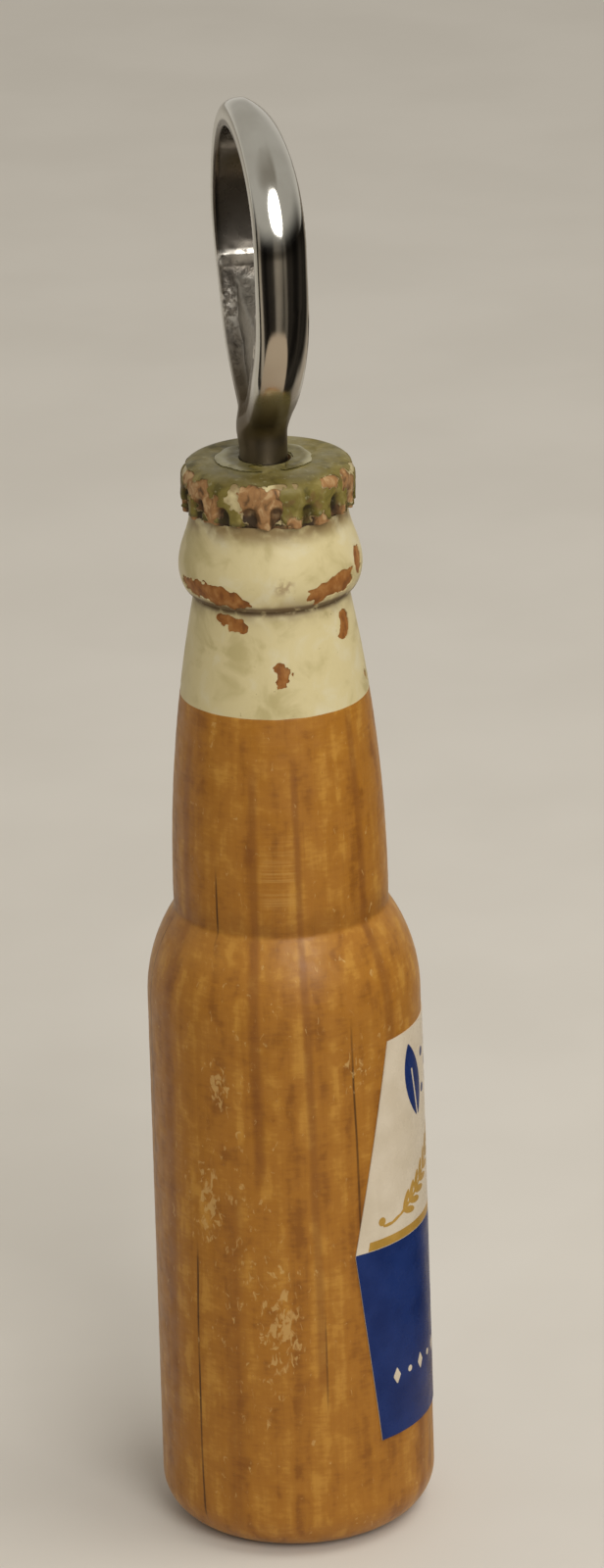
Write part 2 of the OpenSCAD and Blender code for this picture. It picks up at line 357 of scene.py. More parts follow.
# Places where only the olive is gone and the cream under it shows
OLIVE_RUBS = [
    (146, 176.2, 1.3, 2.2), (176, 178.2, 2.4, 0.7), (221, 178.0, 1.2, 0.5), (255, 177.6, 1.4, 0.8),
    (30, 176.6, 1.2, 1.6), (310, 178.2, 2.0, 0.7), (85, 177.6, 1.6, 0.8),
]
# Clusters of small dents on the body: angle, height, spread in degrees, spread in height, number
DENT_CLUSTERS = [
    (141, 81.5, 4, 2.2, 14), (134, 61, 4, 5, 18), (166, 41, 6, 6, 30), (200, 84, 4, 3, 8),
    (150, 45, 16, 26, 50), (160, 100, 40, 22, 26), (250, 100, 50, 8, 8),
    (60, 60, 50, 40, 60), (10, 45, 40, 35, 40), (320, 110, 40, 12, 14),
]


def chip_depth(p, chips, seed, rough, size=1.5):
    """How far inside a chip each point lies, in millimetres; below 0 outside them all."""
    inside = np.full(p.shape[:-1], -9.0)
    for angle, z, wide, high in chips:
        a = math.radians(angle)
        across = -p[..., 0] * math.sin(a) + p[..., 1] * math.cos(a)
        ahead = p[..., 0] * math.cos(a) + p[..., 1] * math.sin(a)
        far = np.sqrt((across / wide) ** 2 + ((p[..., 2] - z) / high) ** 2)
        inside = np.maximum(inside, np.where(ahead > 0, (1 - far) * min(wide, high), -9.0))
    return inside + rough * noise(p, size, seed, 3)


def dents(angle, z):
    """Depth of the dents in the wood on a grid of angles and heights, and how bruised it is there."""
    depth = np.zeros(np.broadcast(angle, z).shape)
    bruised = depth.copy()
    for mid_angle, mid_z, spread, tall, number in DENT_CLUSTERS:
        aside = ((angle - mid_angle + 180) % 360 - 180) / spread
        above = (z - mid_z) / tall
        dense = min(1.0, number * 2.4 / (spread * tall))
        bruised += dense * np.exp(-(aside ** 2 + above ** 2) / 2)
        for _ in range(number):
            a = rng.normal(mid_angle, spread)
            h = np.clip(rng.normal(mid_z, tall), 10, 135)
            tilt = rng.uniform(0, math.pi)
            long, wide, deep = rng.uniform(0.5, 1.5), rng.uniform(0.3, 0.5), rng.uniform(0.02, 0.07)
            across = np.radians((angle - a + 180) % 360 - 180) * 20
            up = z - h
            near = (np.abs(across) < 4) & (np.abs(up) < 4)
            along = across[near] * math.cos(tilt) + up[near] * math.sin(tilt)
            beside = up[near] * math.cos(tilt) - across[near] * math.sin(tilt)
            depth[near] += deep * np.exp(-(along / long) ** 2 - (beside / wide) ** 2)
    return depth, np.clip(bruised, 0, 1)


# ---------------------------------------------------------------- the wooden handle
def crown_field(p, inset):
    """Inside is below 0: the carved crown, inset under its coats."""
    r = np.hypot(p[..., 0], p[..., 1])
    z = p[..., 2]
    corner = np.hypot(np.clip(r - (CROWN_R - CROWN_EDGE), 0, None),
                      np.clip(z - (CROWN_Z - CROWN_EDGE), 0, None)) - (CROWN_EDGE - inset)
    worn = CROWN_WEAR * smooth_step(z, CROWN_Z - 1.2, CROWN_Z - 3.5) * noise(p, 2.2, 13)
    value = smooth_max(corner, SKIRT_Z + 2.2 * worn - z, 0.4) + worn
    angle = np.degrees(np.arctan2(p[..., 1], p[..., 0]))
    k = np.round((angle - NOTCH_START) * NOTCHES / 360).astype(np.int64) % NOTCHES
    own = [lattice(np.stack([k, k * 0 + n, k * 0 + 5], -1), 11) for n in range(3)]
    middle = NOTCH_START + 360 * k / NOTCHES + NOTCH_TURN * own[0]
    turn = np.radians((middle - angle + 180) % 360 - 180)
    radius = NOTCH_R * (1.02 + NOTCH_SWELL * own[1]) + inset + NOTCH_RAGGED * noise(p, 1.7, 17)
    above = np.clip(z - (NOTCH_TOP - NOTCH_R + NOTCH_RISE * own[2]), 0, None)
    cutter = np.sqrt((r * np.cos(turn) - NOTCH_PATH) ** 2 + (r * np.sin(turn)) ** 2 + above ** 2)
    return smooth_max(value, radius - cutter, 0.35)


def to_head(p):
    """Points in the head's own frame: its shank's axis, level with the crown's top."""
    y, z = p[..., 1] - SHANK_Y, p[..., 2] - CROWN_Z
    c, s = math.cos(LEAN), math.sin(LEAN)
    return np.stack([p[..., 0], y * c + z * s, z * c - y * s], -1)


def bore_field(p):
    q = to_head(p)
    return np.maximum(np.hypot(q[..., 0], q[..., 1] + BORE_OFF) - BORE_R, -BORE_DEPTH - q[..., 2])


def upper_wood_field(p):
    """The handle above the seam, under its coats, with the bore for the tang."""
    r = np.hypot(p[..., 0], p[..., 1])
    z = p[..., 2]
    turned = np.maximum(r - (neck_radius(z) - COAT), z - SKIRT_Z - 1)
    value = np.minimum(turned, crown_field(p, COAT))
    return np.maximum(np.maximum(value, SEAM_Z - z), -bore_field(p))


def handle_wood(material):
    """One turned handle: a fine grid up to the seam, and the carved top with the bore."""
    columns = 360
    arc = np.radians(np.linspace(0, 90, 14))
    flat = np.array([0.05, 4, 8, 12])
    z = np.concatenate([np.zeros(len(flat)), FOOT_EDGE * (1 - np.cos(arc)),
                        np.arange(FOOT_EDGE, SEAM_Z + SEAM_LAP, 0.42)[1:], [SEAM_Z + SEAM_LAP]])
    r = np.concatenate([flat, FOOT_R - FOOT_EDGE + FOOT_EDGE * np.sin(arc),
                        body_radius(z[len(flat) + len(arc):])])
    angle = np.arange(columns) * 360.0 / columns
    angles, heights = np.meshgrid(angle, z)
    radius = np.repeat(r[:, None], columns, 1)
    ring = noise(np.stack([z * 0, z * 0, z], -1), 1.1, 5, 2)[:, None]
    out = smooth_step(heights, 3, 12)
    pressed, bruised = dents(angles, heights)
    radius = radius + out * (0.012 * ring - pressed)
    radius = radius - COAT * smooth_step(heights, CREAM_Z, CREAM_Z + 0.4)
    grid = polar(angles, radius, heights).reshape(-1, 3)
    middles = np.array([[0, 0, SEAM_Z + SEAM_LAP], [0, 0, 0]])
    foot = np.arange(columns)
    top = len(grid) - columns + foot
    lid = np.stack([top, np.roll(top, -1), np.full(columns, len(grid))], -1)
    floor = np.stack([np.roll(foot, -1), foot, np.full(columns, len(grid) + 1)], -1)
    quads = grid_faces(len(z), columns, True)
    lower = (np.concatenate([grid, middles]), np.concatenate([triangles(quads), lid, floor]))
    low, high = (-15, -15, SEAM_Z - NET_ROOM), (15, 15, CROWN_Z + NET_ROOM)
    upper = surface_net(upper_wood_field, low, high, 0.3)
    return add_piece("handle_wood", [lower, upper], material, "handle_body",
                     marks=np.clip(bruised + pressed * 4, 0, 1).reshape(-1))


# ---------------------------------------------------------------- paint
def crown_net(inset, step, hollow=False):
    """Triangles of the crown's surface inset under a coat; hollow goes down into the bore."""
    def field(p):
        value = crown_field(p, inset)
        return np.maximum(value, -bore_field(p) - inset) if hollow else value

    low, high = (-14.5, -14.5, SKIRT_Z - NET_ROOM), (14.5, 14.5, CROWN_Z + NET_ROOM)
    points, quads = surface_net(field, low, high, step)
    return points, triangles(quads)


def coat_edge(points):
    """Above 0 where the crown is painted: down to a little over the carved teeth's ends."""
    return points[:, 2] - SKIRT_Z - 0.45 + 0.25 * noise(points, 2, 44)


def crown_chips(points, chips, seed, rough, size):
    """How far inside a chip of the crown's paint each point lies; the flat top stays whole."""
    r = np.hypot(points[:, 0], points[:, 1])
    flat = smooth_step(r, CROWN_R - 0.8, CROWN_R - 2.0)
    flat = flat * smooth_step(points[:, 2], CROWN_Z - 1, CROWN_Z - 0.3)
    return chip_depth(points, chips, seed, rough, size) - 2.5 * flat


def coat(points, tris, kept, depth):
    """The part of a surface where kept is above 0, as a closed coat without stray scraps."""
    return thicken(*without_crumbs(*clip_mesh(points, tris, kept)), depth)


def cream_coat(material):
    """The cream coat: on the neck from the painted line to the throat, and under the olive."""
    columns = 320
    z = np.concatenate([np.arange(CREAM_Z - 0.4, 155.8, 0.28), np.arange(155.8, 160, 0.14),
                        np.arange(160, SKIRT_Z + 0.2, 0.25)])
    angles, heights = np.meshgrid(np.arange(columns) * 360.0 / columns, z)
    points = polar(angles, neck_radius(heights), heights).reshape(-1, 3)
    tris = triangles(grid_faces(len(z), columns, True))
    line = points[:, 2] - CREAM_Z - 0.12 * noise(points, 5, 21)
    kept = np.minimum(line, -chip_depth(points, CREAM_CHIPS, 31, 0.5, 1.1))
    neck = coat(points, tris, kept, COAT - 0.02)
    points, tris = crown_net(CROWN_LAYER + 0.02, 0.28, hollow=True)
    kept = np.minimum(-crown_chips(points, OLIVE_CHIPS, 41, 0.75, 1.2), coat_edge(points))
    kept = np.minimum(kept, bore_field(points) - 0.05)
    crown = coat(points, tris, kept, COAT - CROWN_LAYER - 0.04)
    return add_piece("cream_coat", [neck, crown], material, "neck_paint")


def olive_coat(material):
    """The olive coat on the crown, chipped back further than the cream under it."""
    points, tris = crown_net(0, 0.25)
    further = np.clip(0.35 * noise(points, 2.5, 43), 0, None)
    bare = crown_chips(points, OLIVE_CHIPS, 41, 0.75, 1.2) + 0.04 + further
    bare = np.maximum(bare, crown_chips(points, OLIVE_RUBS, 45, 0.7, 1.0))
    kept = np.minimum(np.minimum(-bare, coat_edge(points)), bore_field(points))
    return add_piece("olive_coat", [coat(points, tris, kept, CROWN_LAYER)], material,
                     "cap_paint")


# ---------------------------------------------------------------- the cast opener head
LOOP_MID = LOOP_R - BAND_T / 2    # centre line of the loop's upper half
LOWER_MID = LOWER_R - BAND_T / 2  # centre line of the arcs that close it
LOWER_X = LOWER_R - LOOP_R        # how far their centres lie past the axis
FORK_UP = LOOP_Z - CROWN_Z - math.sqrt(LOWER_MID ** 2 - LOWER_X ** 2) + 1     # top of the shank


def band_field(far, y, wall):
    """The band's section: a flat inner face, a sloping front and a squarer back with a flat wall."""
    across = far + BAND_T / 2
    front = np.clip(-y - BAND_PEAK, 0, None) / (BAND_FRONT - BAND_PEAK)
    back = np.clip(y + BAND_PEAK, 0, None) / (BAND_BACK + BAND_PEAK)
    over_front = np.clip(across / BAND_T, 0, None)
    over_back = np.clip((across - wall) / (BAND_T - wall), 0, None)
    front_value = (over_front ** FRONT_ROUND + front ** FRONT_ROUND) ** (1 / FRONT_ROUND) - 1
    back_value = (over_back ** BACK_ROUND + back ** BACK_ROUND) ** (1 / BACK_ROUND) - 1
    return np.where(y < -BAND_PEAK, front_value * BAND_T, back_value * (BAND_T - wall))


def head_field(p):
    """Inside is below 0: the loop with its ledges and claw, the shank and the tang."""
    q = to_head(p)
    loop_up = q[..., 2] - (LOOP_Z - CROWN_Z)
    x = np.sqrt(q[..., 0] ** 2 + 0.4)
    high = np.clip(loop_up / LOOP_R, 0, 1)
    y = q[..., 1] - BAND_BEND[0] * smooth_step(loop_up, -16, 2) - BAND_BEND[1] * high ** 2
    y = BAND_BACK + (y - BAND_BACK) / (1 - BAND_TAPER * high ** 3)
    y = np.where(y > 0, y / (1 - BAND_NARROW * smooth_step(loop_up, -19, -29)), y)
    far = np.where(loop_up > 0, np.hypot(x, loop_up) - LOOP_MID,
                   np.hypot(x + LOWER_X, loop_up) - LOWER_MID)
    ledge_up = LEDGE_Z - LOOP_Z
    ledge = LEDGE_D * smooth_step(loop_up, ledge_up + LEDGE_SLOPE, ledge_up - LEDGE_SLOPE)
    ledge = ledge + BAND_CROWN * high ** 3
    cast = smooth_step(loop_up, -4, -9) * smooth_step(far, 0, -BAND_T / 2)
    rough = CAST_ROUGH * cast * noise(p, 2.6, 71, 3)
    band = band_field(far, y, BAND_WALL * (1 - WALL_THIN * high ** 2))
    band = smooth_max(band, -(far + BAND_T / 2 + ledge) + rough, 0.5)
    drop = LEDGE_Z - CLAW_Z
    lip_half = LOOP_R - BAND_T
    lip_r = (lip_half ** 2 + drop ** 2) / (2 * drop)
    lip = lip_r - np.hypot(x, loop_up - (CLAW_Z - LOOP_Z + lip_r))
    claw = smooth_max(np.abs(q[..., 1]) - CLAW_T / 2, np.maximum(far, lip), 0.8)
    claw = smooth_max(claw, loop_up - ledge_up, 0.5) + rough
    loop = smooth_min(band, claw, 1.6)
    up = q[..., 2]
    grip = GRIP_DEPTH * (1 + np.cos(up * 2 * np.pi / GRIP_PITCH)) * smooth_step(up, -3, -4)
    waist = SHANK_WAIST * smooth_step(up, FORK_UP - 4, FORK_UP)
    rod = np.hypot(q[..., 0], q[..., 1]) - SHANK_R + grip + waist
    rod = smooth_max(rod, -TANG_DEPTH - up, 1.0)
    rod = smooth_max(rod, up - FORK_UP, 2.0)
    return smooth_min(loop, rod, 2.4)


def opener_head(material):
    low = np.array([-LOOP_R - 1, -6, BODY_HIGH[2] - TANG_DEPTH - 1])
    high = np.array([LOOP_R + 1, 7.5, HEAD_HIGH[2] + 1])
    return add_piece("opener_casting", [surface_net(head_field, low, high, 0.33)], material,
                     "opener_head", 60)


def glue(material):
    """Hardened glue: the plug round the tang, and the puddle that ran out over the crown."""

    def field(p):
        q = to_head(p)
        r = np.hypot(q[..., 0], q[..., 1])
        angle = np.arctan2(q[..., 1], q[..., 0])
        edge = PUDDLE_R - 0.45 + 0.2 * np.sin(2 * angle + 1)
        edge = edge + 0.14 * np.sin(5 * angle) + 0.1 * np.sin(11 * angle)
        beside = np.abs(np.sin(angle))
        rim = 0.5 * beside * np.exp(-((r - edge + 0.9) / 0.7) ** 2)
        top = PUDDLE_T * (0.22 + 0.2 * beside + rim) + 0.05 * noise(p, 1.6, 51)
        puddle = smooth_max((r - edge) * 0.5, p[..., 2] - CROWN_Z - top, 0.3)
        puddle = np.maximum(puddle, CROWN_Z - 0.05 - p[..., 2])
        gap = BORE_R + 0.25 - np.hypot(q[..., 0], q[..., 1] + BORE_OFF - 0.1)
        front = smooth_step(-q[..., 1], -1.2, 1.4)
        puddle = smooth_max(puddle, gap * front - (1 - front) * 2, 0.15)
        plug = np.maximum(np.maximum(bore_field(p), q[..., 2] + 1.6 + 1.8 * front), -30 - q[..., 2])
        return np.maximum(smooth_min(puddle, plug, 0.2), -head_field(p))

    low, high = (-9.5, -9.5, CROWN_Z - BORE_DEPTH - NET_ROOM), (9.5, 9.5, CROWN_Z + 0.9)
    net = surface_net(field, low, high, 0.25)
    return add_piece("glue_plug", [net], material, "tang_glue")


# ---------------------------------------------------------------- the label and its print
def label_half(z):
    return np.interp(z, LABEL_Z, LABEL_HALF)


def label_grid(z_low, z_high, step, side_gap=0.0, proud=0.0):
    """A patch of the label: angles from its middle in degrees, heights, points and triangles."""
    z = np.append(np.arange(z_low, z_high - step / 2, step), z_high)
    sides, heights = np.meshgrid(np.linspace(-1, 1, LABEL_COLUMNS), z)
    turn = sides * (label_half(heights) - side_gap)
    curl = np.clip(np.abs(turn) - label_half(heights) + 1.5, 0, None)
    lift = 0.035 * curl * (1 + noise(np.stack([turn * 0.3, turn * 0, heights], -1), 9, 61))
    points = polar(FRONT + turn, body_radius(heights) + LABEL_T + lift + proud, heights)
    return turn, heights, points.reshape(-1, 3), triangles(grid_faces(len(z), LABEL_COLUMNS, False))


def label_sheet(material):
    """The six-sided foil, wrapped on the body, a little lifted along its slanted edges."""
    points, tris = label_grid(LABEL_Z[0], LABEL_Z[2], 0.5)[2:]
    return add_piece("label_sheet", [thicken(points, tris, LABEL_T + 0.02)], material,
                     "front_label")


def ellipse(s, z, s0, z0, wide, high, turn=0.0):
    """About how far inside an ellipse points are; turn is in degrees."""
    c, t = math.cos(math.radians(turn)), math.sin(math.radians(turn))
    u, v = (s - s0) * c + (z - z0) * t, (z - z0) * c - (s - s0) * t
    return (1 - np.sqrt((u / wide) ** 2 + (v / high) ** 2)) * min(wide, high)


FLOWER_Z, LOZENGE_Z, LOZENGE_STEP = 77.5, 28.6, 3.4


def rosette(s, z):
    """Blue ornament of the white field: a flower between two upright leaves."""
    shape = ellipse(s, z, 0, FLOWER_Z, 1.3, 1.3)
    for k in range(8):
        a = math.radians(45 * k)
        x, y = 3.6 * math.cos(a), FLOWER_Z + 3.6 * math.sin(a)
        shape = np.maximum(shape, ellipse(s, z, x, y, 2.0, 0.95, 45 * k))
    for side in (-1, 1):
        lean = side * (s - side * 13.0) - 0.22 * (z - FLOWER_Z)
        leaf = 10.4 - np.hypot(np.abs(lean) + 7.8, z - 77.3)
        vein = np.minimum(0.24 - np.abs(lean), 79.6 - z)
        shape = np.maximum(shape, np.minimum(leaf, -vein))
        shape = np.maximum(shape, ellipse(s, z, side * 8.6, 80.6, 0.8, 0.8))
        shape = np.maximum(shape, ellipse(s, z, side * 8.6, 74.4, 0.8, 0.8))
    return shape


def barley(s, z):
    """Gold ornament: two ears of barley that rise from the sides towards the middle."""
    shape = ellipse(s, z, 0, 62.0, 2.6, 2.6)
    for side in (-1, 1):
        shape = np.maximum(shape, ellipse(s, z, side * 22.6, 56.3, 0.75, 0.75))
        for k in range(9):
            t = k / 8
            x, y = side * (21.2 - 15.0 * t), 55.4 + 8.5 * t ** 1.5
            slope = math.degrees(math.atan2(8.5 * 1.5 * t ** 0.5, 15.0))
            shape = np.maximum(shape, ellipse(s, z, x, y, 1.3, 0.3, -side * slope))
            if k > 1:
                for lean in (-38, 38):
                    a = math.radians(slope + lean)
                    shape = np.maximum(shape, ellipse(
                        s, z, x - side * 1.8 * math.cos(a), y + 1.8 * math.sin(a), 1.75, 0.6,
                        -side * (slope + lean)))
    return shape


def small_marks(s, z):
    """White row of lozenges and dots across the blue field."""
    shifted = s + LOZENGE_STEP / 2
    beside = shifted % LOZENGE_STEP - LOZENGE_STEP / 2
    odd = np.floor(shifted / LOZENGE_STEP) % 2
    lozenge = 1.5 - np.abs(beside) * 1.7 - np.abs(z - LOZENGE_Z)
    dot = 0.55 - np.hypot(beside, z - LOZENGE_Z)
    return np.minimum(np.where(odd > 0, dot, lozenge), 21.5 - np.abs(s))


def printed(name, material, pattern, z_low, z_high, side_gap=0.0, proud=0.015):
    """A printed patch of the label: the part of it where pattern is above 0."""
    turn, heights, points, tris = label_grid(z_low, z_high, 0.25, side_gap, proud)
    arc = (np.radians(turn) * body_radius(heights)).reshape(-1)
    if pattern:
        points, tris = clip_mesh(points, tris, pattern(arc, heights.reshape(-1)))
    return add_piece(name, [thicken(points, tris, proud + 0.005)], material,
                     "front_label")


# ---------------------------------------------------------------- materials
class Nodes:
    """Short ways to add shader nodes to a material, or to the world."""

    def __init__(self, owner, coordinates="Object", scale=1 / MM):
        owner.use_nodes = True
        self.owner, self.tree = owner, owner.node_tree
        place = self.add("TexCoord").outputs[coordinates]
        scaled = self.add("VectorMath", place, operation="SCALE")
        scaled.inputs["Scale"].default_value = scale
        self.place = scaled.outputs["Vector"]
        self.x, self.y, self.z = self.add("SeparateXYZ", self.place).outputs

    def link(self, source, socket):
        if isinstance(source, bpy.types.NodeSocket):
            self.tree.links.new(source, socket)
        elif isinstance(source, (tuple, list)) and len(source) == 3 and socket.type == "RGBA":
            socket.default_value = (*source, 1)
        else:
            socket.default_value = source

    def add(self, kind, *sources, **settings):
        """A new node, with its first inputs linked or set."""
        node = self.tree.nodes.new("ShaderNode" + kind)
        for name, value in settings.items():
            setattr(node, name, value)
        for source, socket in zip(sources, node.inputs):
            self.link(source, socket)
        return node

    def math(self, operation, a, b=0.0):
        return self.add("Math", a, b, operation=operation).outputs[0]

    def plus(self, a, b):
        return self.math("ADD", a, b)

    def minus(self, a, b):
        return self.math("SUBTRACT", a, b)

    def times(self, first, *others):
        for other in others:
            first = self.math("MULTIPLY", first, other)
        return first

    def length(self, x, y, z):
        vector = self.add("CombineXYZ", x, y, z).outputs[0]
        return self.add("VectorMath", vector, operation="LENGTH").outputs["Value"]

    def noise(self, size, detail=3.0, stretch=(1, 1, 1), at=None, rough=0.5, bend=0.0):
        """Noise with features about size millimetres across, stretched along the axes."""
        place = self.add("VectorMath", at or self.place, tuple(1 / s for s in stretch),
                         operation="MULTIPLY").outputs["Vector"]
        node = self.add("TexNoise", place)
        node.inputs["Scale"].default_value = 1 / size
        node.inputs["Detail"].default_value = detail
        node.inputs["Roughness"].default_value = rough
        node.inputs["Distortion"].default_value = bend
        return node.outputs["Fac"]

    def ramp(self, value, *stops):
        """Colour ramp: each stop is (position, colour) or (position, grey)."""
        node = self.add("ValToRGB", value)
        node.color_ramp.interpolation = "EASE"
        points = node.color_ramp.elements
        while len(points) < len(stops):
            points.new(0.5)
        for point, (position, colour) in zip(points, stops):
            point.position = position
            point.color = (*colour, 1) if isinstance(colour, tuple) else (colour, colour, colour, 1)
        return node.outputs[0]

    def fade(self, value, start, end):
        """0 up to start, 1 from end on, smooth between; end may be the lower one."""
        node = self.add("MapRange", value, interpolation_type="SMOOTHSTEP")
        low, high = min(start, end), max(start, end)
        for socket, number in zip(("From Min", "From Max", "To Min", "To Max"),
                                  (low, high, float(start > end), float(start < end))):
            node.inputs[socket].default_value = number
        return node.outputs["Result"]

    def near(self, value, middle, edge, core):
        """1 within core of the middle, fading to 0 at edge from it."""
        return self.fade(self.math("ABSOLUTE", self.minus(value, middle)), edge, core)

    def radius(self):
        """Distance from the handle's axis."""
        return self.length(self.x, self.y, 0.0)

    def turn(self):
        """Angle round the handle, 0 to 360 degrees."""
        degrees = self.times(self.math("ARCTAN2", self.y, self.x), 180 / math.pi)
        return self.plus(degrees, self.times(self.math("LESS_THAN", degrees, 0.0), 360))

    def patch(self, turn, angle, wide, height, tall, soft):
        """A soft patch round an angle and a height, with half its size in degrees and millimetres."""
        return self.times(self.near(turn, angle, wide, wide * (1 - soft)),
                          self.near(self.z, height, tall, tall * (1 - soft)))

    def mix(self, amount, a, b):
        node = self.tree.nodes.new("ShaderNodeMix")
        node.data_type = "RGBA"
        self.link(amount, node.inputs[0])
        self.link(a, node.inputs[6])
        self.link(b, node.inputs[7])
        return node.outputs[2]

    def bump(self, height, depth):
        """Bump from a height of 0 to 1 that stands for depth millimetres."""
        node = self.add("Bump")
        node.inputs["Distance"].default_value = depth * MM
        self.link(height, node.inputs["Height"])
        return node.outputs[0]

    def finish(self, colour, roughness, normal=None, **fixed):
        """The material, with its shader's inputs set; fixed names use _ for a space."""
        shader = self.tree.nodes["Principled BSDF"]
        self.link(colour, shader.inputs["Base Color"])
        self.link(roughness, shader.inputs["Roughness"])
        if normal is not None:
            self.link(normal, shader.inputs["Normal"])
        for name, value in fixed.items():
            shader.inputs[name.replace("_", " ")].default_value = value
        return self.owner


def new_nodes(name):
    return Nodes(bpy.data.materials.new(name))


# Colours that a noise runs through, darkest first, each with its place from 0 to 1
WOOD_TONES = ((0.35, (0.245, 0.088, 0.007)), (0.5, (0.355, 0.143, 0.013)), (0.64, (0.465, 0.22, 0.03)))
CHIP_TONES = ((0.34, (0.193, 0.065, 0.011)), (0.5, (0.277, 0.103, 0.018)), (0.68, (0.355, 0.158, 0.04)))
CROWN_TONES = ((0.33, (0.115, 0.058, 0.02)), (0.5, (0.30, 0.152, 0.054)), (0.66, (0.46, 0.295, 0.14)))
CREAM_TONES = ((0.3, (0.46, 0.385, 0.185)), (0.52, (0.595, 0.51, 0.28)), (0.72, (0.62, 0.555, 0.36)))
OLIVE_TONES = ((0.32, (0.09, 0.072, 0.013)), (0.5, (0.172, 0.136, 0.028)), (0.7, (0.255, 0.205, 0.062)))
CHROME_TONES = ((0.3, (0.6, 0.585, 0.53)), (0.7, (0.675, 0.665, 0.61)))
CAST_TONES = ((0.35, (0.30, 0.27, 0.23)), (0.65, (0.46, 0.43, 0.38)))
GLUE_TONES = ((0.3, (0.095, 0.077, 0.02)), (0.7, (0.185, 0.152, 0.045)))
ROOM_TONES = ((0.35, (0.008, 0.007, 0.006)), (0.65, (0.035, 0.03, 0.025)))
FLOOR_TONES = ((0.3, (0.66, 0.625, 0.565)), (0.7, (0.69, 0.655, 0.595)))
# Painted shade in the crown's notches, on the bare wood and on the olive; the olive one also darkens
# the foot of the teeth
NOTCH_SHADE, OLIVE_NOTCH_SHADE = (0.03, 0.017, 0.008), (0.028, 0.019, 0.008)

# Dark streaks in the wood: angle, half width in degrees, lowest and highest point, strength
STREAKS = [
    (126, 0.8, 5, 52, 0.9), (200, 0.8, 52, 90, 0.8), (182, 0.7, 27, 42, 0.6),
    (133, 0.95, 105.5, 114.5, 1.0), (156, 4.0, 66, 132, 0.5), (180, 3.0, 30, 134, 0.45),
    (219, 4.0, 60, 140, 0.5), (144, 6.0, 4, 64, 0.3), (110, 5.0, 20, 136, 0.4),
    (245, 0.9, 6, 17, 0.7), (236, 5.0, 3, 26, 0.45), (20, 0.8, 20, 84, 0.8),
    (62, 4.0, 8, 120, 0.5), (92, 0.8, 60, 104, 0.7), (305, 0.8, 98, 134, 0.8), (338, 5.0, 5, 136, 0.45),
]
CRACK = 1.0                       # streaks narrower than this are open cracks, wider ones stains
GRAIN_SHIFT = 4.5                 # mean of the wander that is added to the angle of the grain


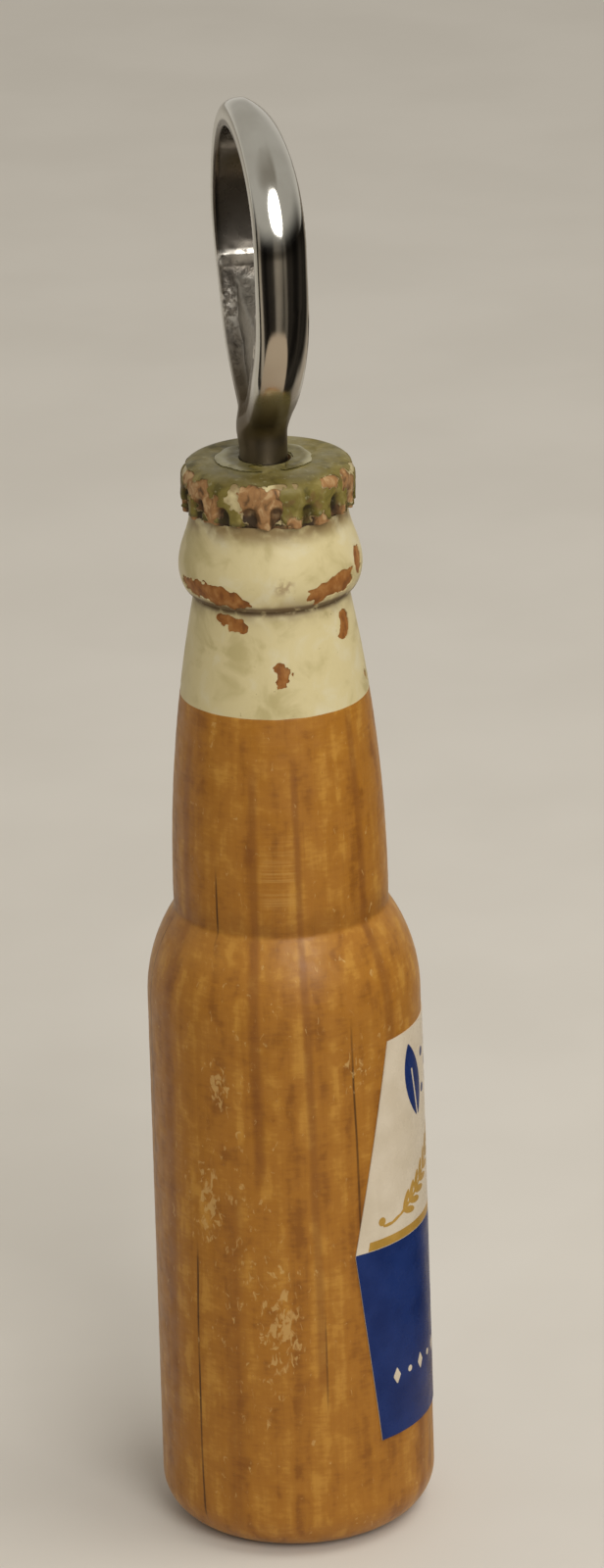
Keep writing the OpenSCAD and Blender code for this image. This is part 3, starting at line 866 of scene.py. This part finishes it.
def wood_material():
    """Varnished wood, with painted shade over the shoulder's crease and a painted highlight on the
    shoulder's edge; under the coats it is bare and drier.
    """
    n = new_nodes("varnished_wood")
    turn = n.plus(n.turn(), n.times(n.noise(24, 2, (1, 1, 3)), 2 * GRAIN_SHIFT))
    cloud = n.noise(3.2, 4, (1, 1, 1.7), bend=0.4)
    grain = n.noise(2.4, 2, (1, 1, 40))
    curl = n.noise(0.8, 3, (2.6, 2.6, 0.7))
    tone = n.plus(n.times(cloud, 0.45), n.plus(n.times(grain, 0.38), n.times(curl, 0.17)))
    colour = n.ramp(tone, *WOOD_TONES)
    # painted shade darkens the neck just over the shoulder's crease, and a painted highlight makes the
    # shoulder's edge paler
    above = n.minus(n.z, NECK_Z)
    uneven = n.fade(n.noise(5, 3), 0.25, 0.7)
    crease_shade = n.times(n.fade(above, 6.0, 0.4), n.fade(above, -0.6, 0.3),
                     n.plus(n.times(uneven, 0.3), 0.1))
    colour = n.mix(crease_shade, colour, (0.14, 0.047, 0.005))
    # painted highlight: the shoulder's edge just under the crease made paler
    smudge_and_highlight = n.times(n.fade(above, -9.0, -3.0), n.fade(above, 0.1, -0.6), uneven, 0.22)
    colour = n.mix(smudge_and_highlight, colour, (0.52, 0.26, 0.045))
    # fine rings that the lathe left
    rings = n.times(n.fade(n.noise(0.55, 2, (90, 90, 1)), 0.5, 0.68),
                    n.patch(turn, 174, 13, 114.5, 10, 0.6))
    colour = n.mix(n.times(rings, 0.4), colour, (0.53, 0.29, 0.07))
    fibre = n.noise(0.35, 3, (1, 1, 26), rough=0.6)
    broken = n.fade(n.noise(1.1, 3, (1, 1, 9)), 0.3, 0.62)
    for angle, wide, low, high, strength in STREAKS:
        streak = n.times(n.near(turn, angle + GRAIN_SHIFT, wide, wide * 0.2),
                         n.fade(n.z, low - 3, low + 3), n.fade(n.z, high + 3, high - 3))
        if wide < CRACK:
            streak = n.times(streak, strength, n.plus(n.times(broken, 0.6), 0.4))
            colour = n.mix(streak, colour, (0.05, 0.018, 0.004))
        else:
            colour = n.mix(n.times(streak, strength), colour, (0.185, 0.058, 0.008))
    colour = n.mix(n.times(n.fade(fibre, 0.45, 0.3), 0.1), colour, (0.13, 0.045, 0.006))
    speck = n.times(n.fade(n.noise(0.6, 1, (1, 1, 1.6)), 0.17, 0.13), 0.7)
    colour = n.mix(speck, colour, (0.07, 0.025, 0.006))
    mark = n.add("Attribute", attribute_name="mark")
    scuffs = n.plus(n.noise(0.95, 4, (1, 1, 1.7), bend=0.8), n.times(mark.outputs["Fac"], 0.2))
    scuffs = n.fade(scuffs, 0.66, 0.8)
    colour = n.mix(n.times(scuffs, 0.6), colour, (0.58, 0.37, 0.13))
    # wood that the chips lay bare, more weathered on the crown
    bare = n.fade(n.z, CREAM_Z, CREAM_Z + 0.5)
    chip = n.ramp(n.noise(1.3, 4, (1, 1, 1.4)), *CHIP_TONES)
    crown = n.ramp(n.noise(1.5, 5, (1, 1, 1.3), bend=0.6), *CROWN_TONES)
    # painted shade in the crown's notches
    notch_shade = n.times(n.fade(n.radius(), CROWN_R - 0.4, CROWN_R - 1.0),
                    n.fade(n.z, NOTCH_TOP + 0.6, NOTCH_TOP - 0.6))
    notch_shade = n.times(notch_shade, n.ramp(n.noise(2.6, 3), (0.38, 0.6), (0.55, 0.95)))
    crown = n.mix(notch_shade, crown, NOTCH_SHADE)
    colour = n.mix(bare, colour, n.mix(n.fade(n.z, *THROAT_SPAN), chip, crown))
    rough = n.plus(n.ramp(n.noise(2.4, 4), (0.3, 0.4), (0.75, 0.56)), n.times(bare, 0.25))
    height = n.minus(n.plus(n.times(fibre, 0.2), n.times(curl, 0.6)), n.times(scuffs, 0.5))
    return n.finish(colour, rough, n.bump(height, 0.04), IOR=1.4, Coat_Weight=0.08, Coat_Roughness=0.28,
                    Sheen_Weight=0.16, Sheen_Roughness=0.3, Sheen_Tint=(1.0, 0.82, 0.55, 1.0))


def cream_material():
    """Aged cream paint, with grime and painted shade at the groove and grime and a painted shadow under
    the crown.
    """
    n = new_nodes("cream_paint")
    colour = n.ramp(n.noise(6, 4, bend=0.6), *CREAM_TONES)
    groove = GROOVE_Z + 0.3
    patchy = n.noise(3.2, 3)
    # grime and painted shade round the groove, and grime and a painted shadow on the throat under the
    # crown's skirt
    groove_grime_and_shade = n.times(n.near(n.z, groove, 3.4, 0.4), n.fade(patchy, 0.3, 0.65), 0.6)
    throat_grime_and_shadow = n.times(n.fade(n.z, 167.6, 170.6), n.fade(patchy, 0.25, 0.55), 0.9)
    colour = n.mix(n.math("MAXIMUM", groove_grime_and_shade, throat_grime_and_shadow), colour, (0.23, 0.155, 0.065))
    smudge_and_highlight = n.times(n.patch(n.turn(), 178, 9, BEAD_Z + 0.1, 2.0, 0.8),
                     n.fade(n.noise(1.1, 5, bend=0.5), 0.4, 0.62), 0.6)
    colour = n.mix(smudge_and_highlight, colour, (0.25, 0.15, 0.075))
    # a dark line of grime and painted shade along the groove
    line = n.times(n.near(n.z, groove, 1.3, 0.5), n.fade(n.noise(2.0, 4), 0.3, 0.46))
    colour = n.mix(n.times(line, 0.8), colour, (0.08, 0.038, 0.015))
    speck = n.times(n.fade(n.noise(0.8, 2), 0.27, 0.22), 0.5)
    colour = n.mix(speck, colour, (0.20, 0.14, 0.06))
    rough = n.plus(n.ramp(n.noise(2.2, 4), (0.3, 0.33), (0.75, 0.5)), n.times(line, 0.3))
    return n.finish(colour, rough, n.bump(n.noise(1.4, 4), 0.05), Specular_IOR_Level=0.3)


def olive_material():
    """Olive paint, paler on the worn top, with painted shade on the top's near side and in the notches,
    and darker at the foot of the teeth.
    """
    n = new_nodes("olive_paint")
    r = n.radius()
    colour = n.ramp(n.noise(2.8, 5, bend=0.5), *OLIVE_TONES)
    top = n.times(n.fade(n.z, CROWN_Z - 0.9, CROWN_Z - 0.1), n.fade(n.noise(4.5, 3), 0.35, 0.6), 0.6)
    colour = n.mix(top, colour, (0.235, 0.205, 0.10))
    # painted shade on the near side of the top, by the rim
    near_rim_shade = n.times(n.patch(n.turn(), 172, 60, CROWN_Z, 1.6, 0.8), n.fade(r, 7.5, 11), 0.5)
    colour = n.mix(near_rim_shade, colour, (0.085, 0.062, 0.014))
    brown = n.times(n.fade(n.noise(1.9, 4), 0.52, 0.66), n.fade(n.z, CROWN_Z, CROWN_Z - 2.5), 0.6)
    colour = n.mix(brown, colour, (0.15, 0.078, 0.03))
    # painted shade in the notches; the foot of the teeth is darkened with the same colour
    notch_shade = n.times(n.fade(r, CROWN_R - 0.25, CROWN_R - 0.8),
                    n.fade(n.z, NOTCH_TOP + 0.7, NOTCH_TOP - 0.5))
    notch_shade = n.times(notch_shade, n.ramp(n.noise(3.0, 3), (0.35, 0.6), (0.55, 1.0)))
    foot = n.times(n.fade(n.z, SKIRT_Z + 1.3, SKIRT_Z + 0.2), 0.7)
    colour = n.mix(n.times(n.math("MAXIMUM", notch_shade, foot), 0.9), colour, OLIVE_NOTCH_SHADE)
    worn = n.times(n.fade(n.noise(0.9, 3), 0.6, 0.72), 0.45)
    colour = n.mix(worn, colour, (0.33, 0.30, 0.17))
    rough = n.ramp(n.noise(2.2, 4), (0.3, 0.36), (0.75, 0.58))
    return n.finish(colour, rough, n.bump(n.noise(0.9, 4), 0.07), Specular_IOR_Level=0.32)


def chrome_material():
    """Polished plating, tarnished and rough inside the loop, dull on the shank, with painted glints on
    the ledges and under them.
    """
    n = new_nodes("chrome_head")
    rise = n.minus(n.z, LOOP_Z)
    # how far outside the inner face, under and over the loop's middle
    low_out = n.length(n.plus(n.math("ABSOLUTE", n.x), LOWER_X), rise, 0.0)
    low_out = n.minus(low_out, LOWER_R - BAND_T)
    high_out = n.minus(n.length(n.x, rise, 0.0), LOOP_R - BAND_T)
    web = n.times(n.fade(low_out, -1.4, -2.6), n.fade(rise, 1, -1))
    low_inside = n.times(n.fade(low_out, 0.9, 0.1), n.fade(low_out, -2.6, -1.4))
    inside = n.mix(n.fade(rise, -1, 1), low_inside, n.fade(high_out, 0.7, 0.2))
    cast = n.times(n.math("MAXIMUM", inside, web), n.fade(n.z, LEDGE_Z + 1, LEDGE_Z - 2))
    mottle = n.noise(1.6, 5, bend=0.8)
    dull = n.fade(n.z, *SHANK_FADE)
    colour = n.ramp(n.noise(7, 4), *CHROME_TONES)
    colour = n.mix(n.times(inside, 0.88), colour, (0.115, 0.095, 0.075))
    colour = n.mix(n.times(cast, n.fade(mottle, 0.42, 0.6)), colour, (0.27, 0.24, 0.20))
    colour = n.mix(n.times(web, 0.8), colour, n.ramp(mottle, *CAST_TONES))
    # painted glints on the ledges' tops and in spots under them
    glint_spots = n.times(inside, n.near(n.z, 200, 4.2, 1), n.fade(n.noise(1.1, 5), 0.45, 0.6))
    ledge_glints = n.times(inside, n.near(n.z, LEDGE_Z + 0.5, 1.2, 0.6), n.fade(n.noise(0.9, 4), 0.3, 0.5))
    colour = n.mix(n.times(n.math("MAXIMUM", glint_spots, ledge_glints), 0.9), colour, (0.72, 0.68, 0.61))
    colour = n.mix(n.times(dull, 0.92), colour, (0.15, 0.115, 0.07))
    rough = n.plus(n.ramp(n.noise(4, 4), (0.35, 0.08), (0.75, 0.15)), n.times(cast, 0.14))
    rough = n.plus(rough, n.plus(n.times(inside, 0.17), n.times(web, 0.25)))
    rough = n.plus(rough, n.times(dull, 0.32))
    return n.finish(colour, rough, n.bump(n.times(cast, mottle), 0.4), Metallic=1.0)


def glue_material():
    """Hardened glue, paler where it stands proud on both sides of the shank, with a painted highlight
    along its rim there.
    """
    n = new_nodes("glue")
    r = n.radius()
    side = n.fade(n.math("DIVIDE", n.math("ABSOLUTE", n.y), r), 0.45, 0.9)
    # painted highlight along the puddle's rim on both sides of the shank
    rim = n.times(n.fade(r, 5.6, 7.2), n.fade(n.noise(2.2, 3), 0.2, 0.45), side)
    colour = n.ramp(n.noise(2.2, 4), *GLUE_TONES)
    colour = n.mix(n.times(side, 0.5), colour, (0.20, 0.175, 0.085))
    colour = n.mix(n.times(rim, 0.85), colour, (0.42, 0.39, 0.25))
    rough = n.ramp(n.noise(1.5, 3), (0.3, 0.3), (0.7, 0.5))
    return n.finish(colour, rough, n.bump(n.noise(0.9, 3), 0.05), Specular_IOR_Level=0.3)


def print_material(name, low, high):
    """Printed foil with a colour between low and high."""
    n = new_nodes(name)
    colour = n.ramp(n.noise(6, 4), (0.3, low), (0.7, high))
    rough = n.ramp(n.noise(2.5, 3), (0.3, 0.22), (0.75, 0.34))
    return n.finish(colour, rough, n.bump(n.noise(1.5, 2), 0.006), Specular_IOR_Level=0.16)


# ---------------------------------------------------------------- stage, light and camera
CAMERA_TURN = math.radians(-100)  # azimuth of the view, 0 looks along +Y
CAMERA_FAR, CAMERA_UP = 1000.0, 494.08
CAMERA_DOWN, CAMERA_YAW, CAMERA_ROLL = (math.radians(a) for a in (20.272, 0.2212, -1.7325))
CAMERA_LENS, CAMERA_SENSOR = 155.15, 36.0
AIM = Vector((0, 0, 0.14))        # the lamps face this point on the handle
PALE_WALL, CEILING, CEILING_DARK = (0.82, 0.78, 0.71), (0.64, 0.61, 0.555), (0.22, 0.185, 0.14)
TABLE = (0.47, 0.38, 0.29)
# Paler uprights in the dark part of the room: angle, half width in degrees, brightness
UPRIGHTS = ((116, 22, 0.42), (184, 8, 0.22), (204, 19, 0.12), (318, 24, 0.45))


def add_object(name, data):
    thing = bpy.data.objects.new(name, data)
    bpy.context.scene.collection.objects.link(thing)
    return thing


def add_camera():
    camera = add_object("camera", bpy.data.cameras.new("camera"))
    right = Vector((math.cos(CAMERA_TURN), math.sin(CAMERA_TURN), 0))
    ahead = Vector((-math.sin(CAMERA_TURN), math.cos(CAMERA_TURN), 0))
    look = (right * math.sin(CAMERA_YAW) + ahead * math.cos(CAMERA_YAW)) * math.cos(CAMERA_DOWN)
    look.z = -math.sin(CAMERA_DOWN)
    across = look.cross(Vector((0, 0, 1))).normalized()
    up = across.cross(look)
    c, s = math.cos(CAMERA_ROLL), math.sin(CAMERA_ROLL)
    across, up = across * c + up * s, up * c - across * s
    place = (-ahead * CAMERA_FAR + Vector((0, 0, CAMERA_UP))) * MM
    camera.matrix_world = Matrix.Translation(place) @ Matrix((across, up, -look)).transposed().to_4x4()
    camera.data.lens, camera.data.sensor_width = CAMERA_LENS, CAMERA_SENSOR
    camera.data.clip_start = 0.05
    bpy.context.scene.camera = camera


def add_area(name, place, wide, tall, power, colour):
    """A soft light that faces the middle of the object."""
    light = bpy.data.lights.new(name, "AREA")
    light.shape = "ELLIPSE"
    light.size, light.size_y, light.energy, light.color = wide, tall, power, colour
    lamp = add_object(name, light)
    lamp.location = place
    lamp.rotation_euler = (Vector(place) - AIM).to_track_quat("Z", "Y").to_euler()
    return lamp


def dark_room(n, turn):
    """Colour of the unlit part of the room by its angle: dark, with a few paler uprights."""
    place = n.add("CombineXYZ", turn, 0.0, 0.0).outputs[0]
    colour = n.ramp(n.noise(24, 2, at=place), *ROOM_TONES)
    for angle, wide, level in UPRIGHTS:
        upright = n.near(turn, angle, wide, wide * 0.2)
        colour = n.mix(upright, colour, (level, level * 0.88, level * 0.74))
    return colour


def add_room():
    """The light of a plain room: pale ceiling, a pale wall behind, darker uprights to the front."""
    world = bpy.data.worlds.new("studio")
    n = Nodes(world, "Generated", 1.0)
    turn = n.turn()
    side = n.mix(n.fade(n.x, 0.0, 0.55), dark_room(n, turn), PALE_WALL)
    dark = n.times(n.near(turn, 205, 105, 20), n.near(n.z, 0.87, 0.19, 0.03), 0.65)
    colour = n.mix(n.fade(n.z, 0.0, 0.34), side, n.mix(dark, CEILING, CEILING_DARK))
    back = n.tree.nodes["Background"]
    n.link(colour, back.inputs["Color"])
    back.inputs["Strength"].default_value = 0.74
    bpy.context.scene.world = world


def add_dark_card():
    """What the polished metal mirrors in front of it: a table's edge and the dark floor past it.

    It shows in reflections only, so every view still sees the plain pale floor."""
    near, far, lift = 0.03, 7.0, 0.0006
    turns = np.radians(np.linspace(75, 325, 51))
    ring = np.stack([np.cos(turns), np.sin(turns)], -1)
    points = [(x * r, y * r, lift) for r in (near, far) for x, y in ring]
    mesh = bpy.data.meshes.new("dark_card")
    mesh.from_pydata(points, [], grid_faces(2, len(ring), False)[:, [0, 3, 2, 1]].tolist())
    card = add_object("dark_card", mesh)
    card.visible_camera = card.visible_diffuse = card.visible_shadow = False
    n = new_nodes("dark_card")
    turn = n.turn()
    edge = n.plus(n.times(n.near(turn, 186, 95, 0), 110), 75)
    beyond = n.minus(n.radius(), edge)
    colour = n.mix(n.fade(beyond, -15, 15), TABLE, dark_room(n, turn))
    mesh.materials.append(n.finish(colour, 0.9, Specular_IOR_Level=0.0))


def add_floor():
    mesh = bpy.data.meshes.new("floor")
    half = 4.0
    corners = [(-half, -half, 0), (half, -half, 0), (half, half, 0), (-half, half, 0)]
    mesh.from_pydata(corners, [], [(0, 1, 2, 3)])
    n = new_nodes("floor")
    mesh.materials.append(n.finish(n.ramp(n.noise(60, 3), *FLOOR_TONES), 0.8))
    floor = add_object("floor", mesh)


def add_stage():
    add_floor()
    add_room()
    add_dark_card()
    add_area("window", (-1.15, -0.22, 0.89), 0.68, 0.95, 9.5, (1.0, 0.98, 0.95))
    ceiling_lamp = add_area("ceiling_lamp", (-0.3, -0.6, 1.5), 0.9, 0.9, 8.5, (1.0, 0.975, 0.93))
    ceiling_lamp.visible_glossy = False
    bpy.context.scene.view_settings.view_transform = "Standard"


def main():
    add_camera()
    add_stage()
    wood, cream, olive = wood_material(), cream_material(), olive_material()
    handle_wood(wood)
    cream_coat(cream)
    olive_coat(olive)
    opener_head(chrome_material())
    glue(glue_material())
    white = print_material("label_white", (0.565, 0.485, 0.365), (0.625, 0.545, 0.425))
    blue = print_material("label_blue", (0.008, 0.022, 0.105), (0.013, 0.032, 0.14))
    gold = print_material("label_gold", (0.36, 0.205, 0.035), (0.45, 0.265, 0.06))
    label_sheet(white)
    printed("print_blue_field", blue, None, LABEL_Z[0], 51.8)
    printed("print_gold_band", gold, None, 51.9, 53.4, 6.0)
    printed("print_rosette", blue, rosette, 70, 84)
    printed("print_barley", gold, barley, 54, 69)
    printed("print_small_marks", white, small_marks, 26, 31, proud=0.03)


main()
